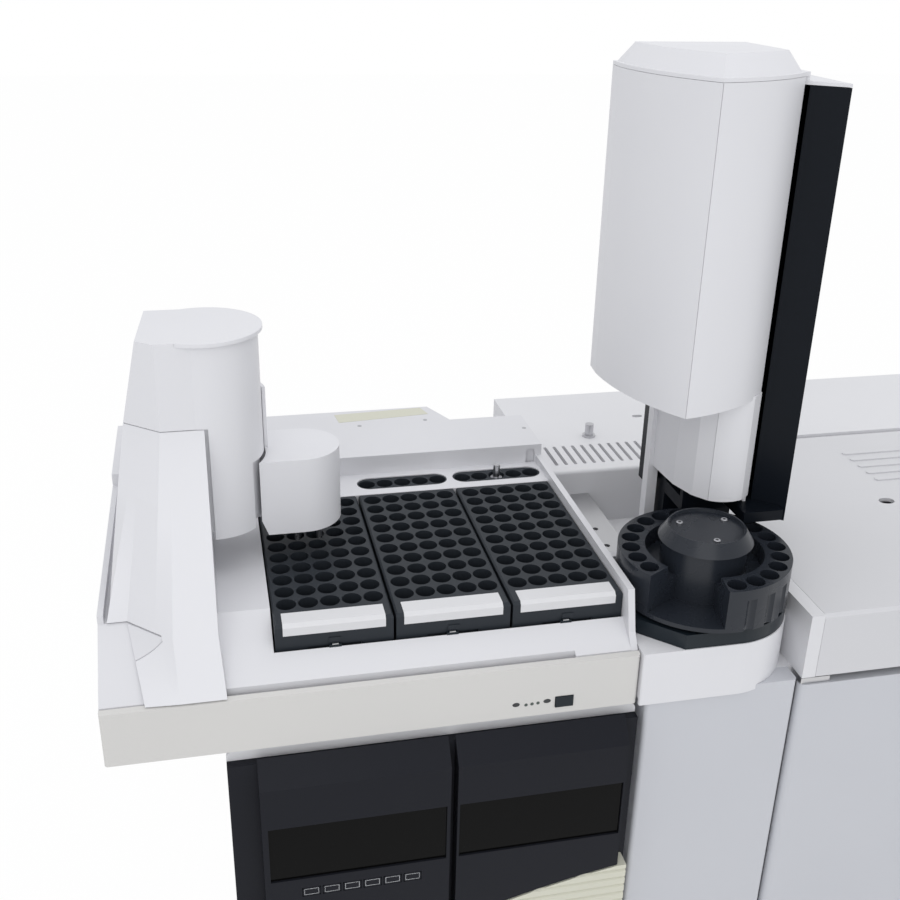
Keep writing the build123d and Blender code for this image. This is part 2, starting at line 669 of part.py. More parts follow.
with BuildPart() as tray_base:
    block((tray_left, bezel_back, tray_bottom), (tray_right, rear_corner_y, bezel_top - groove_depth - 6))
    # garage block at the left with the front apron sloping down to the groove
    side_prism(((bezel_back, tray_bottom), slope_low, (garage_front, rack_top),
                (housing_front, rack_top), (housing_front, tray_bottom)), tray_left, well_left)
    # apron before the racks
    side_prism(((bezel_back, tray_bottom), slope_low,
                (bay_front, slope_low[1] + apron_rate * (bay_front - bezel_back)),
                (bay_front, tray_bottom)), well_left, well_right)
    # faceted rest under the parked arm, level with the deck
    with BuildPart(mode=Mode.PRIVATE) as rest:
        foot_loft()
        block((tray_left, rest_front, bezel_top), (rest_right, garage_front + 1, rack_top),
              Mode.INTERSECT)
    add(rest.part)
    side_prism(((rack_front - 1, rack_top - 2.7), (rack_front + 1.7, rack_top + 0.1),
                (rack_front - 1, rack_top + 0.1)), foot_left_top, rest_right, Mode.SUBTRACT)
    # floor under the racks and the bridge behind them
    block((well_left, bay_front, tray_bottom), (well_right, rack_rear + 1, well_floor))
    block((well_left, rack_rear + 1, tray_bottom), (well_right, housing_front, rack_top))
    # side walls
    side_prism(((bezel_back, tray_bottom), (bezel_back, bezel_top), (bezel_back + 9, bezel_top + 13),
                (bezel_back + 19, wall_top), (housing_front, wall_top), (housing_front, tray_bottom)),
               well_right, tray_right)
    side_prism(((garage_front, tray_bottom), (garage_front, wall_top), (housing_front, wall_top),
                (housing_front, tray_bottom)), tray_left, garage_left)
    # rear housing, its right rear corner set back
    plan_prism(((tray_left, housing_front), (tray_right, housing_front), (tray_right, rear_corner_y),
                (rear_corner_x + 18, rear_corner_y), (rear_corner_x, tray_rear),
                (tray_left, tray_rear)), tray_bottom, rack_top + rear_housing_rise)
    # half-round thumb recess in the housing's front
    with BuildSketch(Plane.XZ.offset(-housing_front)) as recess:
        with Locations((tray_right - 12, rack_top + 6)):
            SlotOverall(20, 10, rotation=90)
    extrude(recess.sketch, amount=-5, mode=Mode.SUBTRACT)
    # groove that the gantry's front shoe runs in
    block((ridge_x - shoe_reach - 3, bezel_back, bezel_top + 1 - groove_depth),
          (tray_right - 55, bezel_back + groove_width, rack_top), Mode.SUBTRACT)
    # pockets of the two well strips
    for rack in (1, 2):
        strip_x = hole_x0 + rack_half_span + rack * rack_pitch
        with BuildSketch(Plane.XY.offset(rack_top)) as pocket:
            with Locations((strip_x, strip_y)):
                SlotOverall(rack_width - 4, well_strip_width)
        extrude(pocket.sketch, amount=-well_strip_height, mode=Mode.SUBTRACT)
save(tray_base.part, "tray_base")

rack_names = ("left", "middle", "right")
for rack, side in enumerate(rack_names):
    rack_x = hole_x0 + rack_half_span + rack * rack_pitch
    with BuildPart() as vial_rack:
        block((rack_x - rack_width / 2, rack_front, rack_top - rack_height),
              (rack_x + rack_width / 2, rack_rear, rack_top))
        chamfer(vial_rack.edges().filter_by(Axis.X).sort_by(Axis.Z)[-2:].sort_by(Axis.Y)[0], length=rack_edge)
        chamfer(vial_rack.edges().filter_by(Axis.Y).group_by(Axis.Z)[-1], length=1.5)
        with BuildSketch(Plane.XY.offset(rack_top)) as holes:
            with Locations((rack_x, (hole_y0 + rack_rear - rack_back_border) / 2)):
                with GridLocations(hole_pitch_x, hole_pitch_y, rack_columns, rack_rows):
                    Circle(hole_radius)
        extrude(holes.sketch, amount=-hole_depth, mode=Mode.SUBTRACT)
        # finger notch in the front wall
        block((rack_x - 22, rack_front - 1, rack_top - rack_height - 1),
              (rack_x + 22, rack_front + 3, rack_top - 22), Mode.SUBTRACT)
        # release latch above the notch
        block((rack_x - 5, rack_front - 0.8, rack_top - 20), (rack_x + 5, rack_front, rack_top - 15))
    save(vial_rack.part, f"vial_rack_{side}")

label_half = rack_width / 2 - 6.5
with BuildPart() as rack_labels:
    for rack in range(len(rack_names)):
        rack_x = hole_x0 + rack_half_span + rack * rack_pitch
        side_prism(((rack_front - label_thickness, rack_top - rack_edge),
                    (rack_front + rack_edge, rack_top + label_thickness),
                    (rack_front + label_top_depth, rack_top + label_thickness),
                    (rack_front + label_top_depth, rack_top), (rack_front + rack_edge, rack_top),
                    (rack_front, rack_top - rack_edge), (rack_front, rack_top - label_drop),
                    (rack_front - label_thickness, rack_top - label_drop)),
                   rack_x - label_half, rack_x + label_half)
save(rack_labels.part, "rack_labels")

with BuildPart() as well_strips:
    for rack in (1, 2):
        strip_x = hole_x0 + rack_half_span + rack * rack_pitch
        with BuildSketch(Plane.XY.offset(rack_top - well_strip_height)) as strip_plan:
            with Locations((strip_x, strip_y)):
                SlotOverall(rack_width - 4.4, well_strip_width - 0.4)
        extrude(strip_plan.sketch, amount=well_strip_height - 1)
        with BuildSketch(Plane.XY.offset(rack_top - 1)) as wells:
            with Locations((strip_x, strip_y)):
                with GridLocations(hole_pitch_x, 1, rack_columns, 1):
                    Circle(hole_radius)
        extrude(wells.sketch, amount=-18, mode=Mode.SUBTRACT)
save(well_strips.part, "well_strips")

pin_x = hole_x0 + rack_half_span + 2 * rack_pitch
with BuildPart() as tray_pin:
    rod((pin_x, strip_y, rack_top - 19), (0, 0, 1), 14, 4.5)
    rod((pin_x, strip_y, rack_top - 5), (0, 0, 1), 2, 6)
    rod((pin_x, strip_y, rack_top - 3), (0, 0, 1), 14, 3.5)
save(tray_pin.part, "tray_pin")

with BuildPart() as tray_pads:
    for pad_x in (ms_left + 50, ms_right - 50):
        for pad_y in (front_face + 70, tray_rear - 70):
            rod((pad_x, pad_y, ms_height), (0, 0, 1), tray_bottom - ms_height, 12)
save(tray_pads.part, "tray_pads")

bracket_z = rack_top - 52.0
with BuildPart() as tray_bracket:
    plan_prism(((tray_right, front_face + 170), (gc_left + 30, front_face + 173),
                (gc_left + 52, front_face + 193), (gc_left + 52, left_bay_rear),
                (tray_right, left_bay_rear)), bracket_z, bracket_z + 3)
    block((gc_left + 10, left_bay_rear - 3, gc_deck_height),
          (gc_left + 52, left_bay_rear, bracket_z + 3))
    for hole_dy in (200, 236):
        rod((gc_left + 32, front_face + hole_dy, bracket_z - 1), (0, 0, 1), 5, 3.2, Mode.SUBTRACT)
save(tray_bracket.part, "tray_bracket")

# ================= gantry =================
def gantry_section(z):
    """Plan of the gantry's left part at a height: ridge in front, flared left wall."""
    left = (left_at_top - flare_slope * (column_top - max(z, arm_seam_height))
            - arm_flare_slope * (arm_seam_height - min(z, arm_seam_height)))
    front = column_front if z >= arm_seam_height else column_front - slope_rate * (arm_seam_height - z)
    if z >= arm_middle:
        ridge = ridge_x - arm_ridge_bow * min(1, max(0, (arm_seam_height - z)
                                                     / (arm_seam_height - arm_middle)))
        facet = min((ridge_x - left) * 0.85, column_back - 8 - front)
        fold = 0.0
    else:
        share = (arm_middle - z) / (arm_middle - gantry_low)
        ridge = ridge_x - arm_ridge_bow * (1 - share)
        facet = (garage_front - 1 - front) * share + (ridge_x - left) * 0.85 * (1 - share)
        fold = share
    crease_x, crease_y = ridge + 0.8 * (left - ridge), front + 0.8 * facet
    low_x, low_y = foot_edge(gantry_low)
    crease = (crease_x + fold * (low_x - crease_x), crease_y + fold * (low_y - crease_y))
    return ((arm_right_x, front), (ridge, front), crease, (left, front + facet),
            (left + 5, column_back), (arm_right_x, column_back))


def gantry_loft(z_low, z_high, mode=Mode.ADD):
    """A ruled loft of the gantry's plan between two heights."""
    with BuildSketch(Plane.XY.offset(z_low)) as lower:
        with BuildLine():
            Polyline(*gantry_section(z_low), close=True)
        make_face()
    with BuildSketch(Plane.XY.offset(z_high)) as upper:
        with BuildLine():
            Polyline(*gantry_section(z_high), close=True)
        make_face()
    loft([lower.sketch.face(), upper.sketch.face()], ruled=True, mode=mode)


cap_seam = arm_seam_height
with BuildPart() as gantry_column:
    gantry_loft(cap_seam, column_top - 0.01)
    # half-round sleeve at the right with a thin rim at the top
    rod((axis_x, axis_y, sleeve_bottom), (0, 0, 1), column_top - sleeve_bottom, column_radius)
    rod((axis_x, axis_y, column_top - column_rim_height), (0, 0, 1), column_rim_height,
        column_rim_radius)
    block((axis_x - 60, axis_y - 60, sleeve_bottom - 1), (axis_x, axis_y + 60, cap_seam), Mode.SUBTRACT)
    # room for the turning drum
    rod((axis_x, axis_y, sleeve_bottom - 1), (0, 0, 1), column_top - 29 - sleeve_bottom,
        column_radius - sleeve_wall, Mode.SUBTRACT)
    rod((axis_x, axis_y, column_top - 31), (0, 0, 1), 21, drum_pin_radius + running_gap, Mode.SUBTRACT)
    # window that the head's neck passes through
    window_reach = column_rim_radius + 20
    window_from, window_to = radians(-41), radians(66)
    plan_prism(((axis_x, axis_y),
                (axis_x + window_reach * cos(window_from), axis_y + window_reach * sin(window_from)),
                (axis_x + window_reach, axis_y + window_reach * sin(window_from)),
                (axis_x + window_reach, axis_y + window_reach * sin(window_to)),
                (axis_x + window_reach * cos(window_to), axis_y + window_reach * sin(window_to))),
               sleeve_bottom - 1, head_top + 3, Mode.SUBTRACT)
save(gantry_column.part, "gantry_column")

rest_clearance = 0.8
label_front = rack_front - label_thickness - rest_clearance


def above_apron(y):
    """Height of the gantry's underside over the apron."""
    return slope_low[1] + apron_rate * (y - bezel_back) + apron_clearance


with BuildPart() as gantry_arm:
    # foot that follows the apron down and hangs over the bezel
    foot_loft()
    side_prism(((bezel_back, foot_bottom - 1), (bezel_back, above_apron(bezel_back)),
                (label_front, above_apron(label_front)),
                (label_front, rack_top - rack_edge + 0.4),
                (rack_front + rack_edge - 0.3, gantry_low), (garage_front + 3, gantry_low),
                (garage_front + 3, foot_bottom - 1)), tray_left, arm_right_x + 5, Mode.SUBTRACT)
    gantry_loft(gantry_low, arm_middle)
    gantry_loft(arm_middle, cap_seam - 0.6)
    # shoe that runs in the groove
    block((ridge_x - shoe_reach, bezel_back + 1, bezel_top + 2 - groove_depth),
          (arm_right_x - 4, bezel_back + groove_width - 0.5, foot_bottom + 5))
    # clearance over the tray's left wall
    block((tray_left - 1, garage_front - 2, gantry_low - 1), (garage_left + 0.5, tray_rear, wall_top + 2),
          Mode.SUBTRACT)
    # hollow that the drum turns in
    rod((axis_x, axis_y, drum_bottom - 0.5), (0, 0, 1), cap_seam - drum_bottom, drum_radius + 0.5, Mode.SUBTRACT)
save(gantry_arm.part, "gantry_arm")

rear_arm_top = rack_top + 118.0
rear_arm_low = rack_top + rear_housing_rise + 3.0
with BuildPart() as gantry_rear_arm:
    side_prism(((column_back + 0.01, gantry_low), (column_back + 0.01, rear_arm_top),
                (tray_rear + 1, rear_arm_low + 16), (tray_rear + 1, rear_arm_low),
                (housing_front - 8, rear_arm_low), (housing_front - 8, gantry_low)),
               ridge_x - 22, arm_right_x)
    block((ridge_x - 22, tray_rear + 1, rack_top - 10), (arm_right_x, tray_rear + 7, rear_arm_low + 16))
save(gantry_rear_arm.part, "gantry_rear_arm")

def radial_slab(angle, r_low, r_high, half_width, z_low, z_high, mode=Mode.ADD):
    """An upright slab that points out from the column's axis."""
    way = (cos(radians(angle)), sin(radians(angle)))
    side = (-way[1] * half_width, way[0] * half_width)
    plan_prism(tuple((axis_x + way[0] * r + side[0] * s, axis_y + way[1] * r + side[1] * s)
                     for r, s in ((r_low, -1), (r_high, -1), (r_high, 1), (r_low, 1))),
               z_low, z_high, mode)


neck_angle = 14.0
neck_half_width = 6.0
neck_play = 0.35
with BuildPart() as arm_drum:
    rod((axis_x, axis_y, drum_bottom), (0, 0, 1), column_top - 31 - drum_bottom, drum_radius)
    rod((axis_x, axis_y, column_top - 32), (0, 0, 1), 18, drum_pin_radius)
    # guide slot for the head's neck
    radial_slab(neck_angle, 22, drum_radius + 2, neck_half_width + neck_play,
                head_bottom + 1, head_bottom + neck_height + lift_travel + 7, Mode.SUBTRACT)
save(arm_drum.part, "arm_drum")

head_x = axis_x + head_reach
head_y = axis_y + 10.0
head_left_clip = column_radius + head_gap
grip_x = axis_x + 82.0
with BuildPart() as gripper_head:
    block((axis_x + 20, head_y - head_radius, head_bottom), (head_x, head_y, head_top))
    block((axis_x + 36, head_y - 1, head_bottom), (head_x, head_y + head_radius, head_top))
    rod((head_x, head_y, head_bottom), (0, 0, 1), head_top - head_bottom, head_radius)
    # lower left corner sloped off, round the column
    front_prism(((axis_x + 10, head_bottom + 36), (axis_x + 32, head_bottom + 36),
                 (axis_x + 46, head_bottom - 1), (axis_x + 10, head_bottom - 1)),
                axis_y - 60, axis_y + 60, Mode.SUBTRACT)
    rod((axis_x, axis_y, head_bottom - 1), (0, 0, 1), head_top - head_bottom + 2, head_left_clip,
        Mode.SUBTRACT)
    # riser shell that closes the column's window behind the neck
    with BuildSketch(Plane.XY.offset(head_top - 6)) as riser:
        with Locations((axis_x, axis_y)):
            Circle(head_left_clip + 3)
            Circle(head_left_clip, mode=Mode.SUBTRACT)
        with BuildLine():
            Polyline((axis_x, axis_y), (axis_x + 80, axis_y + 80 * tan(radians(8))),
                     (axis_x + 80, axis_y + 80 * tan(radians(50))), close=True)
        make_face(mode=Mode.INTERSECT)
    extrude(riser.sketch, amount=63)
    # neck into the drum's guide slot
    radial_slab(neck_angle, 24, head_left_clip + 6, neck_half_width,
                head_bottom + 4, head_bottom + 4 + neck_height)
save(gripper_head.part, "gripper_head")

for name, way in (("gripper_jaw_left", -1), ("gripper_jaw_right", 1)):
    jaw_x = grip_x + way * 10.0
    with BuildPart() as jaw:
        block((jaw_x - 5, axis_y - 6, head_bottom - 6), (jaw_x + 5, axis_y + 6, head_bottom - 0.3))
        rod((jaw_x, axis_y, head_bottom - 6), (0, 0, -1), jaw_length - 6, 2.6)
    save(jaw.part, name)

# ================= injector =================
base_top = shroud_top + 14.0
turret_low = turret_top - turret_rim_height
spindle_radius = 6.0
shroud_back = turret_y + 104.7
shroud_left = turret_x - 77.0
shroud_right = turret_x + 75.5
shroud_front = front_face - 4.0


def shroud_prism(inset, corner_cut, z_low, z_high, mode=Mode.ADD):
    """The shroud's plan carried up: flat in front, one broad round corner, left corner cut."""
    left, right = shroud_left + inset, shroud_right - inset
    front, back = shroud_front + inset, shroud_back - inset
    with BuildSketch(Plane.XY.offset(z_low)) as plan:
        with BuildLine():
            Polyline((right, turret_y - 20), (right, back), (left, back), (left, front + corner_cut),
                     (left + corner_cut, front), (turret_x + 15, front))
            ThreePointArc((turret_x + 15, front), (turret_x + 52 - inset * 0.7, turret_y - 54 + inset * 0.7),
                          (right, turret_y - 20))
        make_face()
    extrude(plan.sketch, amount=z_high - z_low, mode=mode)


with BuildPart() as injector_shroud:
    # lip that hangs before the panel
    shroud_prism(0, 1, tray_bottom, gc_deck_height)
    block((shroud_left - 1, front_face - 0.4, tray_bottom - 1),
          (shroud_right + 1, shroud_back + 1, gc_deck_height + 1), Mode.SUBTRACT)
    shroud_prism(0, 1, gc_deck_height, shroud_top)
    shroud_prism(shroud_wall, 1, gc_deck_height - 1, shroud_top - shroud_wall, Mode.SUBTRACT)
    # way through for the needle
    rod((needle_x, needle_y, shroud_top - 10), (0, 0, 1), 20, 3, Mode.SUBTRACT)
save(injector_shroud.part, "injector_shroud")

with BuildPart() as turret_base:
    shroud_prism(1, 36, shroud_top, base_top)
    block((shroud_left - 1, turret_y + 72, shroud_top - 1), (shroud_right + 1, shroud_back + 1, base_top + 1),
          Mode.SUBTRACT)
    rod((turret_x, turret_y, shroud_top + 2), (0, 0, 1), base_top - shroud_top,
        spindle_radius + running_gap, Mode.SUBTRACT)
    rod((needle_x, needle_y, shroud_top - 1), (0, 0, 1), 20, 3, Mode.SUBTRACT)
save(turret_base.part, "turret_base")

with BuildPart() as turret:
    with BuildSketch(Plane.XZ.offset(-turret_y)) as half_section:
        with BuildLine():
            Polyline((turret_x, base_top + 0.4), (turret_x + 20, base_top + 0.4),
                     (turret_x + 20, turret_low), (turret_x + turret_radius, turret_low),
                     (turret_x + turret_radius, turret_top), (turret_x + ring_inner + 2, turret_top),
                     (turret_x + ring_inner, turret_top - 14),
                     (turret_x + hub_drum_radius, turret_top - 14),
                     (turret_x + hub_drum_radius, turret_top + hub_rise - hub_skirt_drop - 1),
                     (turret_x + hub_skirt_radius, turret_top + hub_rise - hub_skirt_drop),
                     (turret_x + hub_top_radius, turret_top + hub_rise),
                     (turret_x + hub_top_radius - 1.5, turret_top + hub_rise),
                     (turret_x + hub_top_radius - 2, turret_top + hub_rise - 3),
                     (turret_x, turret_top + hub_rise - 3), close=True)
        make_face()
    revolve(half_section.sketch, Axis((turret_x, turret_y, 0), (0, 0, 1)))
    # open sector of the ring
    sector_reach = 160.0
    with BuildSketch(Plane.XY.offset(turret_low + 4)) as sector:
        with Locations((turret_x, turret_y)):
            Circle(turret_radius + 2)
            Circle(hub_drum_radius, mode=Mode.SUBTRACT)
        with BuildLine():
            Polyline((turret_x, turret_y),
                     (turret_x + sector_reach * cos(radians(turret_sector_left)),
                      turret_y + sector_reach * sin(radians(turret_sector_left))),
                     (turret_x + sector_reach * cos(radians(turret_sector_right)),
                      turret_y + sector_reach * sin(radians(turret_sector_right))), close=True)
        make_face(mode=Mode.INTERSECT)
    extrude(sector.sketch, amount=turret_top + 1 - (turret_low + 4), mode=Mode.SUBTRACT)
    # vial pockets and the flutes between them
    with BuildSketch(Plane.XY.offset(turret_top)) as pockets:
        with Locations((turret_x, turret_y)):
            with PolarLocations(turret_hole_circle, turret_hole_count, first_pocket_angle,
                                pocket_pitch * (turret_hole_count - 1), endpoint=True):
                Circle(turret_hole_radius)
    extrude(pockets.sketch, amount=-30, mode=Mode.SUBTRACT)
    with BuildSketch(Plane.XY.offset(turret_low)) as flutes:
        with Locations((turret_x, turret_y)):
            with PolarLocations(turret_radius + 3.4, turret_flute_count,
                                first_pocket_angle + pocket_pitch / 2,
                                pocket_pitch * (turret_flute_count - 1), endpoint=True):
                Circle(6)
    extrude(flutes.sketch, amount=turret_rim_height - 10, mode=Mode.SUBTRACT)
    # spindle
    rod((turret_x, turret_y, shroud_top + 4), (0, 0, 1), base_top - shroud_top, spindle_radius)
save(turret.part, "turret")


def near_turret(x, y):
    """A plan point given from the turret's centre."""
    return (turret_x + x, turret_y + y)


# tower plan: dark chassis at the back and right, white covers before it
left_back = near_turret(-68, 139)
cover_back_left = near_turret(-70, 119)
side_bulge = near_turret(-61, 59)
cover_front_left = near_turret(-32, 0)
front_bulge = near_turret(15.9, 13.8)
door_edge = near_turret(57, 42)
hinge_x, hinge_y = near_turret(55.5, 44)
hinge_pin = 2.0
flange_left = near_turret(63, 44)
flange_front = near_turret(88, 24)
tower_back_right = near_turret(88, 139)
back_wall_y = turret_y + 129.0
cap_low = tower_top - 3.0
flange_plate = 3.0
plate_top = chassis_bottom + 14.0
lower_wall_z = turret_top + 3.0
with BuildPart() as tower_chassis:
    plan_prism((flange_left, flange_front, tower_back_right, near_turret(-58, 139), near_turret(-58, 129),
                near_turret(78, 129), near_turret(78, 36), near_turret(65, 48)), chassis_bottom, cap_low)
    # post that stands on the deck behind the shroud
    block((turret_x + 4.7, shroud_back + 0.3, gc_deck_height), (turret_x + 76, turret_y + 139, plate_top))
    # lower wall and floor over the turret, with the step beside the neck
    block((turret_x + 4.7, turret_y + 64, lower_wall_z), (turret_x + 84, turret_y + 70, neck_bottom))
    block((turret_x + 4.7, turret_y + 64, lower_wall_z), (turret_x + 84, turret_y + 139, plate_top - 4))
    block((turret_x + 45, turret_y + 19, chassis_bottom + 4), (turret_x + 83, turret_y + 66, plate_top))
    # the flange stops below the cap's plate
    block((turret_x + 59, turret_y - 1, flange_top - flange_plate), (turret_x + 90, turret_y + 141, cap_low + 1),
          Mode.SUBTRACT)
    # open below the cover at the left
    block((turret_x - 60, turret_y + 128, chassis_bottom - 1), (turret_x - 9, turret_y + 141, cover_bottom),
          Mode.SUBTRACT)
    rod((hinge_x, hinge_y, chassis_bottom + 7), (0, 0, 1), 20, hinge_pin + running_gap, Mode.SUBTRACT)
    # rail that the syringe carriage runs on
    block((needle_x - 6, back_wall_y - 5, neck_bottom + 40), (needle_x + 6, back_wall_y + 1, cap_low - 20))
save(tower_chassis.part, "tower_chassis")


def tower_wall_ring(z_low, z_high):
    """Closed wall round the tower's upper plan."""
    with BuildSketch(Plane.XY.offset(z_low)) as ring:
        with BuildLine():
            Line(left_back, cover_back_left)
            ThreePointArc(cover_back_left, side_bulge, cover_front_left)
            ThreePointArc(cover_front_left, front_bulge, door_edge)
            Polyline(door_edge, near_turret(57, 139), left_back)
        make_face()
        offset(amount=-tower_wall, mode=Mode.SUBTRACT)
    extrude(ring.sketch, amount=z_high - z_low)


def neck_ring(z_low, z_high):
    """Closed wall round the narrow neck below the tower."""
    with BuildSketch(Plane.XY.offset(z_low)) as ring:
        with BuildLine():
            Polyline(near_turret(47, 32), near_turret(57, 40), near_turret(57, 150), near_turret(-6, 150),
                     near_turret(-6, 129), near_turret(-2, 74), near_turret(6, 49), near_turret(16, 36))
            ThreePointArc(near_turret(16, 36), near_turret(32, 30), near_turret(47, 32))
        make_face()
        offset(amount=-tower_wall, mode=Mode.SUBTRACT)
    extrude(ring.sketch, amount=z_high - z_low)


def neck_ledge(z_low, z_high):
    """Floor between the tower's wall and the neck's wall."""
    with BuildSketch(Plane.XY.offset(z_low)) as ledge:
        with BuildLine():
            Line(left_back, cover_back_left)
            ThreePointArc(cover_back_left, side_bulge, cover_front_left)
            ThreePointArc(cover_front_left, front_bulge, door_edge)
            Polyline(door_edge, near_turret(57, 139), left_back)
        make_face()
        with BuildLine():
            Polyline(near_turret(46, 34), near_turret(55, 41), near_turret(55, 150), near_turret(-4, 150),
                     near_turret(-4, 129), near_turret(0, 74), near_turret(8, 50), near_turret(17, 38),
                     near_turret(32, 32), close=True)
        make_face(mode=Mode.SUBTRACT)
    extrude(ledge.sketch, amount=z_high - z_low)


with BuildPart() as tower_side_cover:
    tower_wall_ring(cover_bottom, cap_low - 0.3)
    neck_ledge(cover_bottom, cover_bottom + tower_wall)
    neck_ring(neck_bottom, cover_bottom + tower_wall)
    plan_prism((near_turret(-100, 160), near_turret(-100, -19), near_turret(-38.8, -19),
                near_turret(-32.1, 0.15), near_turret(15.85, 36.2), near_turret(15.85, 60),
                near_turret(30, 60), near_turret(30, 128.7), near_turret(-58.3, 128.7),
                near_turret(-58.3, 160)), neck_bottom, tower_top, Mode.INTERSECT)
    # narrow leg at the left rear that stands on the deck
    block((turret_x - 9, turret_y + 117, gc_deck_height + 0.3), (turret_x + 1, turret_y + 128.7, cover_bottom + 1))
save(tower_side_cover.part, "tower_side_cover")

with BuildPart() as tower_door:
    tower_wall_ring(cover_bottom, cap_low - 0.3)
    neck_ledge(cover_bottom, cover_bottom + tower_wall)
    neck_ring(neck_bottom, cover_bottom + tower_wall)
    plan_prism((near_turret(-38.4, -19), near_turret(-31.8, -0.05), near_turret(16.15, 35.9),
                near_turret(16.15, 46), near_turret(70, 46), near_turret(70, -40),
                near_turret(-38.4, -40)), neck_bottom, tower_top, Mode.INTERSECT)
    # hinge rod
    rod((hinge_x, hinge_y, chassis_bottom + 8), (0, 0, 1), tower_top - chassis_bottom - 9, hinge_pin)
save(tower_door.part, "tower_door")

with BuildPart() as tower_cap:
    with BuildSketch(Plane.XY.offset(cap_low)) as cap_plan:
        with BuildLine():
            Line(left_back, cover_back_left)
            ThreePointArc(cover_back_left, side_bulge, cover_front_left)
            ThreePointArc(cover_front_left, front_bulge, door_edge)
            Polyline(door_edge, near_turret(62, 46), near_turret(62, 139), left_back)
        make_face()
    extrude(cap_plan.sketch, amount=tower_top - cap_low)
    # lower plate over the flange, joined by a short upright
    plan_prism((near_turret(59.5, 47), flange_left, flange_front, tower_back_right, near_turret(59.5, 139)),
               flange_top - flange_plate + 0.3, flange_top)
    plan_prism((near_turret(59.5, 47), near_turret(63, 46), near_turret(63, 139), near_turret(59.5, 139)),
               flange_top - flange_plate + 0.3, tower_top)
    with BuildSketch(Plane.XY.offset(tower_top)) as dome:
        with BuildLine():
            Line(left_back, cover_back_left)
            ThreePointArc(cover_back_left, side_bulge, cover_front_left)
            ThreePointArc(cover_front_left, front_bulge, door_edge)
            Polyline(door_edge, near_turret(57, 139), left_back)
        make_face()
        offset(amount=-3, mode=Mode.REPLACE)
    extrude(dome.sketch, amount=tower_cap_height, taper=35)
    rod((hinge_x, hinge_y, cap_low - 1), (0, 0, 1), 3.6, hinge_pin + running_gap, Mode.SUBTRACT)
save(tower_cap.part, "tower_cap")

# syringe: glass barrel clamped in a carriage on the chassis rail, steel plunger above
barrel_low = cover_bottom + 5.0
barrel_length = 75.0
barrel_radius = 4.0
plunger_radius = 2.0
needle_length = 80.0
carriage_low = cover_bottom + tower_wall + syringe_travel + 2.0
carriage_high = carriage_low + 22.0
rail_play = 0.3
with BuildPart() as syringe_carriage:
    block((needle_x - 13, needle_y - 7, carriage_low),
          (needle_x + 13, back_wall_y - rail_play, carriage_high))
    block((needle_x - 6 - rail_play, back_wall_y - 5 - rail_play, carriage_low - 1),
          (needle_x + 6 + rail_play, back_wall_y + 1, carriage_high + 1), Mode.SUBTRACT)
    rod((needle_x, needle_y, carriage_low - 1), (0, 0, 1), carriage_high - carriage_low + 2,
        barrel_radius, Mode.SUBTRACT)
save(syringe_carriage.part, "syringe_carriage")

with BuildPart() as syringe_barrel:
    rod((needle_x, needle_y, barrel_low), (0, 0, 1), barrel_length, barrel_radius)
    rod((needle_x, needle_y, barrel_low + 8), (0, 0, 1), barrel_length, plunger_radius + running_gap,
        Mode.SUBTRACT)
    rod((needle_x, needle_y, barrel_low + 1), (0, 0, -1), needle_length + 1, 0.6)
save(syringe_barrel.part, "syringe_barrel")

with BuildPart() as syringe_plunger:
    rod((needle_x, needle_y, barrel_low + 10), (0, 0, 1), barrel_length + 8, plunger_radius)
    rod((needle_x, needle_y, barrel_low + barrel_length + 14), (0, 0, 1), 4, 7)
save(syringe_plunger.part, "syringe_plunger")
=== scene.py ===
from math import cos, pi, radians, sin

import bmesh
import bpy
from mathutils import Matrix, Vector


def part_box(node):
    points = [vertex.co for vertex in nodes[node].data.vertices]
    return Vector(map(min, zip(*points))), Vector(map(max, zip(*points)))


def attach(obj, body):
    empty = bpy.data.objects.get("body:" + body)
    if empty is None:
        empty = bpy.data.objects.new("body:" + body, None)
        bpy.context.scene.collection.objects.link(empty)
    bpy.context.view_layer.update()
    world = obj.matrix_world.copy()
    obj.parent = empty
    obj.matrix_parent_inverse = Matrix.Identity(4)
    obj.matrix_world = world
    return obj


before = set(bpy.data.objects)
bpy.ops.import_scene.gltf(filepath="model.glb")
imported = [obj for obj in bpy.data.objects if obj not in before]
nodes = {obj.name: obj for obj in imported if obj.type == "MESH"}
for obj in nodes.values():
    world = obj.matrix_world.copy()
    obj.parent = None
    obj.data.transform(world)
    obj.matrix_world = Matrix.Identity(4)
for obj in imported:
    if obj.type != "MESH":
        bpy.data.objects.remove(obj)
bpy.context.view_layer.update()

# ---- Camera ----
# It stands at head height before the left end of the bench and looks down at the tray, the
# tower and the near part of both boxes.
CAMERA_PLACE = (-0.4159, -1.0423, 1.0315)
CAMERA_RIGHT = Vector((0.97698, -0.2124, 0.0199))
CAMERA_DOWN = Vector((-0.0693, -0.4043, -0.9120))
CAMERA_LENS = 44.99
CAMERA_SENSOR = 36.0
camera_up = -(CAMERA_DOWN - CAMERA_RIGHT * CAMERA_DOWN.dot(CAMERA_RIGHT)).normalized()
camera_turn = Matrix((CAMERA_RIGHT, camera_up, CAMERA_RIGHT.cross(camera_up))).transposed()
camera_data = bpy.data.cameras.new("camera")
camera_data.lens = CAMERA_LENS
camera_data.sensor_width = CAMERA_SENSOR
camera = bpy.data.objects.new("camera", camera_data)
camera.matrix_world = Matrix.Translation(CAMERA_PLACE) @ camera_turn.to_4x4()
bpy.context.scene.collection.objects.link(camera)
bpy.context.scene.camera = camera
bpy.context.scene.view_settings.view_transform = "Standard"

